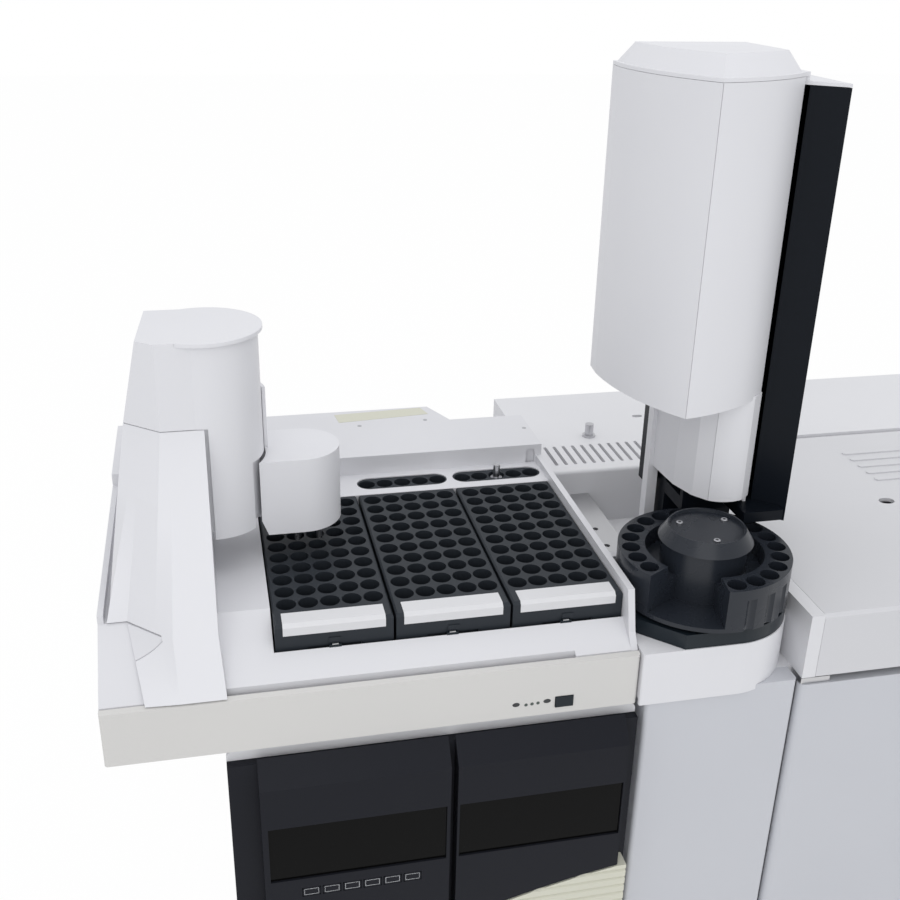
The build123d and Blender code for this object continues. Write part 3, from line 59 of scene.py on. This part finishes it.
# ---- Room ----
# An even pale room. It is white where the camera sees it, and a little dimmer as light and in
# reflections.
ROOM_STRENGTH = 0.80
room = bpy.data.worlds.new("room")
bpy.context.scene.world = room
room.use_nodes = True
room_nodes = room.node_tree.nodes
room_nodes.clear()
room_light = room_nodes.new("ShaderNodeBackground")
room_light.inputs["Color"].default_value = (0.97, 0.98, 1.0, 1)
room_light.inputs["Strength"].default_value = ROOM_STRENGTH
room_white = room_nodes.new("ShaderNodeBackground")
room_white.inputs["Color"].default_value = (1, 1, 1, 1)
room_path = room_nodes.new("ShaderNodeLightPath")
room_mix = room_nodes.new("ShaderNodeMixShader")
room_out = room_nodes.new("ShaderNodeOutputWorld")
room.node_tree.links.new(room_path.outputs["Is Camera Ray"], room_mix.inputs[0])
room.node_tree.links.new(room_light.outputs[0], room_mix.inputs[1])
room.node_tree.links.new(room_white.outputs[0], room_mix.inputs[2])
room.node_tree.links.new(room_mix.outputs[0], room_out.inputs["Surface"])

# ---- Floor ----
# A white sheet on the bench, under both boxes. It is nearly pure white to the camera and in
# reflections, and keeps a faint contact shadow.
FLOOR_HALF = 9.0
FLOOR_WHITE_SHARE = 0.975
floor_mesh = bpy.data.meshes.new("floor")
floor_mesh.from_pydata(
    [(-FLOOR_HALF, -FLOOR_HALF, 0), (FLOOR_HALF, -FLOOR_HALF, 0),
     (FLOOR_HALF, FLOOR_HALF, 0), (-FLOOR_HALF, FLOOR_HALF, 0)], [], [(0, 1, 2, 3)])
floor = bpy.data.objects.new("floor", floor_mesh)
bpy.context.scene.collection.objects.link(floor)
floor_white = bpy.data.materials.new("floor_white")
floor_white.use_nodes = True
floor_nodes = floor_white.node_tree.nodes
floor_links = floor_white.node_tree.links
floor_nodes.clear()
floor_lit = floor_nodes.new("ShaderNodeBsdfDiffuse")
floor_lit.inputs["Color"].default_value = (0.9, 0.9, 0.9, 1)
floor_glow = floor_nodes.new("ShaderNodeEmission")
floor_path = floor_nodes.new("ShaderNodeLightPath")
floor_seen = floor_nodes.new("ShaderNodeMath")
floor_seen.use_clamp = True
floor_share = floor_nodes.new("ShaderNodeMath")
floor_share.operation = "MULTIPLY"
floor_share.inputs[1].default_value = FLOOR_WHITE_SHARE
floor_mix = floor_nodes.new("ShaderNodeMixShader")
floor_out = floor_nodes.new("ShaderNodeOutputMaterial")
floor_links.new(floor_path.outputs["Is Camera Ray"], floor_seen.inputs[0])
floor_links.new(floor_path.outputs["Is Glossy Ray"], floor_seen.inputs[1])
floor_links.new(floor_seen.outputs[0], floor_share.inputs[0])
floor_links.new(floor_share.outputs[0], floor_mix.inputs[0])
floor_links.new(floor_lit.outputs[0], floor_mix.inputs[1])
floor_links.new(floor_glow.outputs[0], floor_mix.inputs[2])
floor_links.new(floor_mix.outputs[0], floor_out.inputs["Surface"])
floor_mesh.materials.append(floor_white)

# ---- Lamps ----
# A large softbox above the front and a slightly weaker one overhead, as for a catalogue
# picture. Both point at the middle of the machine.
SOFTBOXES = (("front_softbox", (-0.9, -2.6, 1.9), 2.4, 17.0),
             ("top_softbox", (0.2, 0.1, 3.0), 2.4, 16.0))
LAMP_AIM = Vector((0, -0.1, 0.5))
for lamp_name, lamp_place, lamp_size, lamp_power in SOFTBOXES:
    lamp_data = bpy.data.lights.new(lamp_name, "AREA")
    lamp_data.size = lamp_size
    lamp_data.energy = lamp_power
    lamp = bpy.data.objects.new(lamp_name, lamp_data)
    lamp.location = lamp_place
    lamp.rotation_euler = (LAMP_AIM - lamp.location).to_track_quat("-Z", "Y").to_euler()
    bpy.context.scene.collection.objects.link(lamp)

# ---- Surface group ----
# Moulded covers and powder coat have a fine grain, a slow unevenness of tone and small changes
# of gloss. The group gives all three to every finish.
surface = bpy.data.node_groups.new("surface", "ShaderNodeTree")
for socket_name, socket_type in (("Colour", "NodeSocketColor"), ("Unevenness", "NodeSocketFloat"),
                                 ("Roughness", "NodeSocketFloat"), ("Gloss change", "NodeSocketFloat"),
                                 ("Grain scale", "NodeSocketFloat"), ("Stretch", "NodeSocketVector")):
    surface.interface.new_socket(socket_name, in_out="INPUT", socket_type=socket_type)
for socket_name, socket_type in (("Colour", "NodeSocketColor"), ("Roughness", "NodeSocketFloat"),
                                 ("Grain", "NodeSocketFloat")):
    surface.interface.new_socket(socket_name, in_out="OUTPUT", socket_type=socket_type)
surface_in = surface.nodes.new("NodeGroupInput")
surface_out = surface.nodes.new("NodeGroupOutput")
surface_place = surface.nodes.new("ShaderNodeTexCoord")
surface_stretch = surface.nodes.new("ShaderNodeVectorMath")
surface_stretch.operation = "MULTIPLY"
slow_noise = surface.nodes.new("ShaderNodeTexNoise")
slow_noise.inputs["Scale"].default_value = 7.0
slow_noise.inputs["Detail"].default_value = 4.0
fine_noise = surface.nodes.new("ShaderNodeTexNoise")
fine_noise.inputs["Detail"].default_value = 2.0
gloss_noise = surface.nodes.new("ShaderNodeTexNoise")
gloss_noise.inputs["Scale"].default_value = 38.0
gloss_noise.inputs["Detail"].default_value = 3.0
tone = surface.nodes.new("ShaderNodeMapRange")
tone.inputs["From Min"].default_value = 0.3
tone.inputs["From Max"].default_value = 0.7
tone.inputs["To Min"].default_value = 1.0
tone.inputs["To Max"].default_value = 0.0
tone_share = surface.nodes.new("ShaderNodeMath")
tone_share.operation = "MULTIPLY"
darken = surface.nodes.new("ShaderNodeMix")
darken.data_type = "RGBA"
darken.blend_type = "MULTIPLY"
darken.inputs["B"].default_value = (0.72, 0.73, 0.76, 1)
gloss = surface.nodes.new("ShaderNodeMath")
gloss.operation = "MULTIPLY_ADD"
for source, target in (
        (surface_place.outputs["Object"], surface_stretch.inputs[0]),
        (surface_in.outputs["Stretch"], surface_stretch.inputs[1]),
        (surface_place.outputs["Object"], slow_noise.inputs["Vector"]),
        (surface_place.outputs["Object"], gloss_noise.inputs["Vector"]),
        (surface_stretch.outputs[0], fine_noise.inputs["Vector"]),
        (surface_in.outputs["Grain scale"], fine_noise.inputs["Scale"]),
        (slow_noise.outputs[0], tone.inputs["Value"]),
        (tone.outputs[0], tone_share.inputs[0]),
        (surface_in.outputs["Unevenness"], tone_share.inputs[1]),
        (tone_share.outputs[0], darken.inputs["Factor"]),
        (surface_in.outputs["Colour"], darken.inputs["A"]),
        (darken.outputs["Result"], surface_out.inputs["Colour"]),
        (gloss_noise.outputs[0], gloss.inputs[0]),
        (surface_in.outputs["Gloss change"], gloss.inputs[1]),
        (surface_in.outputs["Roughness"], gloss.inputs[2]),
        (gloss.outputs[0], surface_out.inputs["Roughness"]),
        (fine_noise.outputs[0], surface_out.inputs["Grain"])):
    surface.links.new(source, target)

# ---- Oven housing ----
# The chromatograph's folded steel case with its powder-coated top, and its smooth grey front
# panels. Screws behind the panels hold them.
GRAIN_DEPTH = 0.0003
SHARP_DEGREES = 32


def finish(name, colour, roughness, unevenness=0.08, grain=0.04, grain_scale=900.0,
           stretch=(1, 1, 1), metallic=0.0, coat=0.0, gloss_change=0.08, specular=0.5):
    """A Principled material whose colour, roughness and bump come from the surface group."""
    material = bpy.data.materials.new(name)
    material.use_nodes = True
    tree = material.node_tree
    shader = tree.nodes["Principled BSDF"]
    shader.inputs["Metallic"].default_value = metallic
    shader.inputs["Coat Weight"].default_value = coat
    shader.inputs["Specular IOR Level"].default_value = specular
    shared = tree.nodes.new("ShaderNodeGroup")
    shared.node_tree = surface
    shared.inputs["Colour"].default_value = (*colour, 1)
    shared.inputs["Unevenness"].default_value = unevenness
    shared.inputs["Roughness"].default_value = roughness - gloss_change / 2
    shared.inputs["Gloss change"].default_value = gloss_change
    shared.inputs["Grain scale"].default_value = grain_scale
    shared.inputs["Stretch"].default_value = stretch
    bump = tree.nodes.new("ShaderNodeBump")
    bump.inputs["Strength"].default_value = grain
    bump.inputs["Distance"].default_value = GRAIN_DEPTH
    tree.links.new(shared.outputs["Colour"], shader.inputs["Base Color"])
    tree.links.new(shared.outputs["Roughness"], shader.inputs["Roughness"])
    tree.links.new(shared.outputs["Grain"], bump.inputs["Height"])
    tree.links.new(bump.outputs["Normal"], shader.inputs["Normal"])
    return material


def soften(piece, edge, segments=3):
    """Rounds a piece's sharp edges by a small radius."""
    bevel = piece.modifiers.new("soft_edges", "BEVEL")
    bevel.width = edge
    bevel.segments = segments
    bevel.limit_method = "ANGLE"
    bevel.angle_limit = radians(SHARP_DEGREES)
    bevel.harden_normals = True


def paint(material, names, edge=0.0):
    """Gives CAD pieces a finish and, where edge is set, softly rounded edges."""
    for name in names:
        piece = nodes[name]
        piece.data.materials.clear()
        piece.data.materials.append(material)
        if edge:
            soften(piece, edge)


body_paint = finish("body_paint", (0.73, 0.73, 0.75), 0.45, grain_scale=700, specular=0.4)
front_paint = finish("front_paint", (0.575, 0.585, 0.62), 0.45, grain_scale=700, specular=0.4)
paint(body_paint, ["gc_housing"], 0.002)
paint(front_paint, ["gc_left_panel", "gc_right_panel", "gc_kick_panel"], 0.0012)

# ---- Oven door and its hinges ----
# A flat insulated door of folded steel in the same front paint. It turns on two plated pins
# that stand in the housing.
hinge_steel = finish("hinge_steel", (0.60, 0.60, 0.61), 0.32, grain_scale=500, stretch=(1, 1, 8),
                     metallic=1.0)
paint(front_paint, ["oven_door"], 0.0015)
paint(hinge_steel, ["oven_door_hinges", "lid_hinge_pins"])

# ---- Lid ----
# A painted lid over the inlets, with two round access holes and a louvre at its right. It
# tilts up on two plated pins.
lid_paint = finish("lid_paint", (0.65, 0.65, 0.67), 0.42, grain_scale=700, specular=0.4)
paint(lid_paint, ["gc_lid"], 0.0025)

# ---- Oven inside ----
# Bright brushed steel liner, fan wheel and hook, and a coil of coated capillary. The fan turns
# at the rear wall, and the coil hangs on the hook from the roof.
liner_steel = finish("liner_steel", (0.62, 0.62, 0.63), 0.34, unevenness=0.2, grain=0.12,
                     grain_scale=260, stretch=(1, 1, 14), metallic=1.0)
coil_resin = finish("coil_resin", (0.42, 0.20, 0.06), 0.38, unevenness=0.3, grain=0.1, grain_scale=500)
paint(liner_steel, ["oven_liner", "oven_fan", "column_hanger"])
paint(coil_resin, ["column_coil"])

# ---- Inlets, detector and transfer line ----
# Turned steel bodies that screw into the deck. The heated line crosses the narrow gap between
# the two boxes.
turned_steel = finish("turned_steel", (0.58, 0.58, 0.60), 0.28, grain=0.08, grain_scale=300,
                      stretch=(1, 1, 20), metallic=1.0)
paint(turned_steel, ["rear_inlet", "flame_detector", "front_inlet", "transfer_line"], 0.0006)

# ---- Feet and pads ----
# Moulded black rubber feet under both boxes, and rubber pads under the tray. They are
# pressed on.
rubber = finish("rubber", (0.020, 0.020, 0.021), 0.72, unevenness=0.3, grain=0.2, grain_scale=500)
paint(rubber, ["levelling_feet", "tray_pads"], 0.001)

# ---- Spectrometer case ----
# A painted steel case behind the dark moulded frame. It stands on four feet of its own.
# Screws at the back hold it.
paint(body_paint, ["ms_housing"], 0.003)

# ---- Spectrometer front ----
# A dark satin moulded frame, and two raised panels of the same plastic with rounded edges
# that clip onto it.
panel_dark = finish("panel_dark", (0.014, 0.015, 0.020), 0.34, unevenness=0.2, gloss_change=0.12,
                    specular=0.10)
paint(panel_dark, ["ms_front_frame"], 0.002)
paint(panel_dark, ["display_panel", "analyzer_cover"], 0.0015)

# ---- Windows ----
# Smoked glossy acrylic, glued into both panels a little behind their faces. Wiping leaves
# faint marks in its gloss.
window_black = finish("window_black", (0.0030, 0.0030, 0.0030), 0.11, unevenness=0.0, grain=0.0,
                      gloss_change=0.10, specular=0.08)
paint(window_black, ["panel_windows"])

# ---- Ribbed panel ----
# Ivory moulded lower front panel with fine crossed ribs on its face. It clips into the dark
# frame.
ivory_plastic = finish("ivory_plastic", (0.66, 0.655, 0.55), 0.5, unevenness=0.14)
paint(ivory_plastic, ["ribbed_panel"])

# ---- Menu keys ----
# Six dark moulded keys that press into the left panel. Each has a thin outline printed on
# its face.
FORWARD = (0, -1, 0)
KEY_INSET = 1.3
OUTLINE_WIDTH = 0.5
OUTLINE_HEIGHT = 0.15


def rectangle(x0, y0, x1, y1):
    """Corners of a rectangle from its low corner to its high one."""
    return [(x0, y0), (x1, y0), (x1, y1), (x0, y1)]


def reach(outline, centre):
    """Smallest distance in mm from an outline's centre to its corners."""
    return min(((p[0] - centre[0]) ** 2 + (p[1] - centre[1]) ** 2) ** 0.5 for p in outline)


def outward(mesh):
    """Turns every face of a closed mesh outward."""
    form = bmesh.new()
    form.from_mesh(mesh)
    bmesh.ops.recalc_face_normals(form, faces=form.faces)
    form.to_mesh(mesh)
    form.free()


def prism(name, outline, base, out, height, material, body, edge=0.0, crown=0.0):
    """A plate of an outline in mm, raised from its base along `out`, bevelled and crowned.

    `base` maps an outline point to its place in mm, `out` is the way the plate stands up.
    """
    count = len(outline)
    centre = (sum(p[0] for p in outline) / count, sum(p[1] for p in outline) / count)
    rings = ((1.0, 0.0), (1.0, height - edge), (1.0 - edge / reach(outline, centre), height))
    corners = []
    for share, level in rings:
        for point in outline:
            place = Vector(base(centre[0] + (point[0] - centre[0]) * share,
                                centre[1] + (point[1] - centre[1]) * share))
            corners.append((place + Vector(out) * level) / 1000)
    faces = [tuple(reversed(range(count)))]
    for ring in range(2):
        for corner in range(count):
            after = (corner + 1) % count
            faces.append((ring * count + corner, ring * count + after,
                          (ring + 1) * count + after, (ring + 1) * count + corner))
    corners.append((Vector(base(*centre)) + Vector(out) * (height + crown)) / 1000)
    for corner in range(count):
        faces.append((2 * count + corner, 2 * count + (corner + 1) % count, 3 * count))
    mesh = bpy.data.meshes.new(name)
    mesh.from_pydata(corners, [], faces)
    mesh.update()
    plate = bpy.data.objects.new(name, mesh)
    bpy.context.scene.collection.objects.link(plate)
    outward(mesh)
    mesh.materials.append(material)
    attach(plate, body)
    return plate


def front_face(y):
    """Outline points are x and z on an upright plane that faces the operator."""
    return lambda u, v: (u, y, v)


key_print = finish("key_print", (0.55, 0.56, 0.58), 0.5)
for key in range(1, 7):
    key_name = f"menu_key_{key}"
    paint(panel_dark, [key_name], 0.0005)
    low, high = (corner * 1000 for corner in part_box(key_name))
    left, right = low.x + KEY_INSET, high.x - KEY_INSET
    foot, head = low.z + KEY_INSET, high.z - KEY_INSET
    for side, (x0, x1, z0, z1) in enumerate((
            (left, right, foot, foot + OUTLINE_WIDTH), (left, right, head - OUTLINE_WIDTH, head),
            (left, left + OUTLINE_WIDTH, foot + OUTLINE_WIDTH, head - OUTLINE_WIDTH),
            (right - OUTLINE_WIDTH, right, foot + OUTLINE_WIDTH, head - OUTLINE_WIDTH))):
        prism(f"{key_name}_outline_{side + 1}", rectangle(x0, z0, x1, z1),
              front_face(low.y + OUTLINE_HEIGHT), FORWARD, OUTLINE_HEIGHT, key_print, key_name,
              edge=0.02)

# ---- Tray ----
# The autosampler's moulded white base, with its raised rear housing, on rubber pads. A steel
# bracket holds it to the chromatograph.
tray_plastic = finish("tray_plastic", (0.70, 0.70, 0.725), 0.42)
paint(tray_plastic, ["tray_base"], 0.0012)
bracket_steel = finish("bracket_steel", (0.55, 0.55, 0.56), 0.36, grain_scale=400, metallic=1.0)
paint(bracket_steel, ["tray_bracket"], 0.001)

# ---- Covers on the rear housing ----
# A moulded ivory cover strip and three grey screw caps lie on the rear housing's flat top.
# They are pressed in.
UP = (0, 0, 1)
HOUSING_TOP = 550.0
COVER_SUNK = 0.3
COVER_HEIGHT = 0.6
CAP_RADIUS = 2.4


def oval(x, y, half_x, half_y, corners=20):
    """Points of an ellipse."""
    return [(x + half_x * cos(2 * pi * k / corners), y + half_y * sin(2 * pi * k / corners))
            for k in range(corners)]


def top_face(z):
    """Outline points are x and y on a level plane."""
    return lambda u, v: (u, v, z)


cap_grey = finish("cap_grey", (0.42, 0.42, 0.44), 0.5)
prism("rear_cover_strip", [(-283.7, 94.7), (-182.1, 104.1), (-187.6, 123.5), (-286.3, 117.5)],
      top_face(HOUSING_TOP - COVER_SUNK), UP, COVER_HEIGHT, ivory_plastic, "machine",
      edge=0.2)
for cap, (x, y) in enumerate(((-262.7, 82.6), (-188.8, 87.5), (-86.2, 47.2))):
    prism(f"housing_screw_cap_{cap + 1}", oval(x, y, CAP_RADIUS, CAP_RADIUS, 16),
          top_face(HOUSING_TOP - COVER_SUNK), UP, COVER_HEIGHT, cap_grey, "machine",
          edge=0.2)

# ---- Bezel ----
# The tray's moulded cream front strip, with three indicator lights between two oval keys. A
# square dark button at their right presses in.
bezel_plastic = finish("bezel_plastic", (0.65, 0.64, 0.62), 0.45)
paint(bezel_plastic, ["tray_bezel"], 0.001)
light_dark = finish("light_dark", (0.05, 0.07, 0.06), 0.25, coat=0.5)
key_dark = finish("key_dark", (0.03, 0.032, 0.035), 0.4)
BEZEL_FRONT = -304.4
TRAY_LIGHT_RADIUS = 1.5
TRAY_KEY_HALF = (3.2, 2.0)
TRAY_FITTING_HEIGHT = 0.5
for light, (x, z) in enumerate(((-178.4, 452.0), (-173.2, 452.3), (-168.0, 452.6))):
    prism(f"tray_light_{light + 1}", oval(x, z, TRAY_LIGHT_RADIUS, TRAY_LIGHT_RADIUS, 14),
          front_face(BEZEL_FRONT + TRAY_FITTING_HEIGHT), FORWARD, TRAY_FITTING_HEIGHT, light_dark,
          "machine", edge=0.2, crown=0.1)
for key, (x, z) in enumerate(((-187.1, 453.2), (-160.1, 453.5))):
    prism(f"tray_oval_key_{key + 1}", oval(x, z, *TRAY_KEY_HALF),
          front_face(BEZEL_FRONT + TRAY_FITTING_HEIGHT), FORWARD, TRAY_FITTING_HEIGHT, key_dark,
          "machine", edge=0.2, crown=0.1)
dark_plastic = finish("dark_plastic", (0.012, 0.018, 0.024), 0.30, unevenness=0.2, specular=0.25)
paint(dark_plastic, ["tray_button"], 0.0004)

# ---- Vial racks ----
# Three dark moulded racks that drop into the tray, and two strips of wells behind them. A
# white label is folded over the front edge of each rack.
rack_plastic = finish("rack_plastic", (0.026, 0.031, 0.038), 0.42, unevenness=0.2, gloss_change=0.12,
                      specular=0.2)
label_white = finish("label_white", (0.70, 0.70, 0.715), 0.5)
paint(rack_plastic, ["vial_rack_left", "vial_rack_middle", "vial_rack_right"])
paint(label_white, ["rack_labels"])
paint(rack_plastic, ["well_strips"], 0.0005)

# ---- Rack latches ----
# A black moulded latch with a bright steel tab stands before the middle of each rack and
# holds the rack down.
LATCH_LOW = 503.0
LATCH_HEIGHT = 6.5
LATCH_HALF_WIDTH = 5
LATCH_FRONT, LATCH_BACK = -271.4, -269.0
TAB_RISE = 6.6
TAB_HEIGHT = 0.8
TAB_HALF_WIDTH = 2.6
TAB_FRONT, TAB_BACK = -271.2, -269.4
for latch, x in enumerate((-333.1, -235.2, -136.6)):
    prism(f"rack_latch_{latch + 1}",
          rectangle(x - LATCH_HALF_WIDTH, LATCH_FRONT, x + LATCH_HALF_WIDTH, LATCH_BACK),
          top_face(LATCH_LOW), UP, LATCH_HEIGHT, dark_plastic, "machine", edge=0.4)
    prism(f"latch_tab_{latch + 1}",
          rectangle(x - TAB_HALF_WIDTH, TAB_FRONT, x + TAB_HALF_WIDTH, TAB_BACK),
          top_face(LATCH_LOW + TAB_RISE), UP, TAB_HEIGHT, hinge_steel, "machine", edge=0.2)

# ---- Pin and thumb screw ----
# A turned steel locating pin pressed into the tray, and the knurled steel screw that screws
# into the oven's deck.
paint(turned_steel, ["tray_pin", "thumb_screw"], 0.0006)

# ---- Gantry ----
# White moulded column and arm that slide along the tray, the rear arm, and the dark hollow
# sleeve's turning drum.
cover_plastic = finish("cover_plastic", (0.74, 0.74, 0.765), 0.40)
paint(cover_plastic, ["gantry_column", "gantry_arm", "gantry_rear_arm"], 0.0025)
paint(cover_plastic, ["arm_drum"], 0.001)

# ---- Gripper head ----
# The white moulded head on the drum's neck. It moves up and down with two steel jaws, which
# slide under it.
paint(cover_plastic, ["gripper_head"], 0.003)
paint(turned_steel, ["gripper_jaw_left", "gripper_jaw_right"], 0.0006)

# ---- Injector tower ----
# White moulded side cover, door and domed cap round a dark chassis, whose flange shows at the
# right. The tower stands on the deck behind the white shroud.
chassis_dark = finish("chassis_dark", (0.006, 0.008, 0.012), 0.30, unevenness=0.25, specular=0.12)
paint(chassis_dark, ["tower_chassis"], 0.0008)
paint(cover_plastic, ["tower_side_cover", "tower_door"], 0.0015)
paint(cover_plastic, ["tower_cap"], 0.003)
paint(cover_plastic, ["injector_shroud"], 0.0012)

# ---- Tower lights ----
# Two oval keys and three lights in a row down the tower's door, all moulded and pressed in.
# They lie just behind the door's skin, so they don't show.
LIGHT_PLACE = (-15.4, -234.8)
LIGHT_ALONG = (0.961, 0.277)
LIGHT_OUT = (0.277, -0.961, 0)
LIGHT_SUNK = 0.2
TOWER_FITTING_HEIGHT = 0.55


def tower_front(u, v):
    """Outline points are across and up the tower's front."""
    return (LIGHT_PLACE[0] + u * LIGHT_ALONG[0] - LIGHT_OUT[0] * LIGHT_SUNK,
            LIGHT_PLACE[1] + u * LIGHT_ALONG[1] - LIGHT_OUT[1] * LIGHT_SUNK, v)


for key, z in enumerate((731.6, 704.1)):
    prism(f"tower_oval_key_{key + 1}", oval(0, z, 2.0, 3.2), tower_front, LIGHT_OUT,
          TOWER_FITTING_HEIGHT, key_dark, "tower_door", edge=0.2, crown=0.1)
for light, z in enumerate((723.1, 717.4, 712.1)):
    prism(f"tower_light_{light + 1}", oval(0.3, z, 1.3, 1.5, 14), tower_front, LIGHT_OUT,
          TOWER_FITTING_HEIGHT, light_dark, "tower_door", edge=0.2, crown=0.1)

# ---- Turret ----
# A glossy dark moulded wheel for vials that turns under the tower. Its dark base plate is
# fixed on the shroud.
turret_gloss = finish("turret_gloss", (0.020, 0.024, 0.032), 0.28, unevenness=0.2, gloss_change=0.10,
                      specular=0.35)
paint(turret_gloss, ["turret"], 0.0006)
paint(dark_plastic, ["turret_base"], 0.0006)

# ---- Hub screws ----
# Three bright socket screws sit in the hub's recess and clamp the wheel to its spindle. They
# are turned steel with a six-sided socket.
HUB_X, HUB_Y, HUB_FLOOR = -1.5, -240.0, 569.0
SCREW_CIRCLE = 24
SCREW_RADIUS = 3.0
SCREW_HEIGHT = 1.8
SCREW_GAP = 0.02
SOCKET_RADIUS = 1.4
SOCKET_RISE = 1.85
SOCKET_HEIGHT = 0.1
for screw, angle in enumerate((27, 147, 267)):
    x, y = HUB_X + SCREW_CIRCLE * cos(radians(angle)), HUB_Y + SCREW_CIRCLE * sin(radians(angle))
    prism(f"hub_screw_{screw + 1}", oval(x, y, SCREW_RADIUS, SCREW_RADIUS, 16),
          top_face(HUB_FLOOR + SCREW_GAP), UP, SCREW_HEIGHT, turned_steel, "turret", edge=0.4)
    prism(f"hub_screw_socket_{screw + 1}", oval(x, y, SOCKET_RADIUS, SOCKET_RADIUS, 6),
          top_face(HUB_FLOOR + SOCKET_RISE), UP, SOCKET_HEIGHT, key_dark, "turret",
          edge=0.02)

# ---- Syringe ----
# A glass barrel and its steel plunger. A dark moulded carriage holds the barrel inside the
# tower.
syringe_glass = finish("syringe_glass", (0.80, 0.85, 0.88), 0.08, gloss_change=0.04)
syringe_glass.node_tree.nodes["Principled BSDF"].inputs["Transmission Weight"].default_value = 0.8
paint(syringe_glass, ["syringe_barrel"])
paint(dark_plastic, ["syringe_carriage"], 0.0006)
paint(turned_steel, ["syringe_plunger"])
